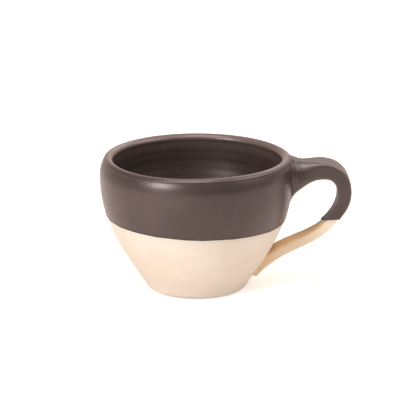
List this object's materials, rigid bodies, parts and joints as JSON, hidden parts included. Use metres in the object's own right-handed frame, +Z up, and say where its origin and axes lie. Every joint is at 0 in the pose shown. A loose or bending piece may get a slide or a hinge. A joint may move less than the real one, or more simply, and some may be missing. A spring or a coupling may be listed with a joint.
{
  "type": "latte cup",
  "caption": "Squat wheel-thrown stoneware cup with a flaring bowl and a looped strap handle, dark matte glaze inside and above a dip line, bare clay below.",
  "frame": {"origin": "centre of the flat base, on the surface that the cup stands on", "axes": "+Z up out of the mouth, +X out of the handle, +Y to the left of someone looking along +X"},
  "size_m": [0.1412, 0.1086, 0.0758],
  "materials": {
    "stoneware": "unglazed buff stoneware, matte, with faint iron specks",
    "slip": "unglazed fired slip, matte",
    "liner_glaze": "satin-matte brown-black glaze, poured",
    "dip_glaze": "satin-matte brown-black glaze, dipped"
  },
  "bodies": {
    "root": {"cup_body": "stoneware", "handle": "stoneware", "slip_upper": "slip", "slip_lower": "slip", "liner_glaze": "liner_glaze", "dip_glaze": "dip_glaze"}
  },
  "joints": []
}
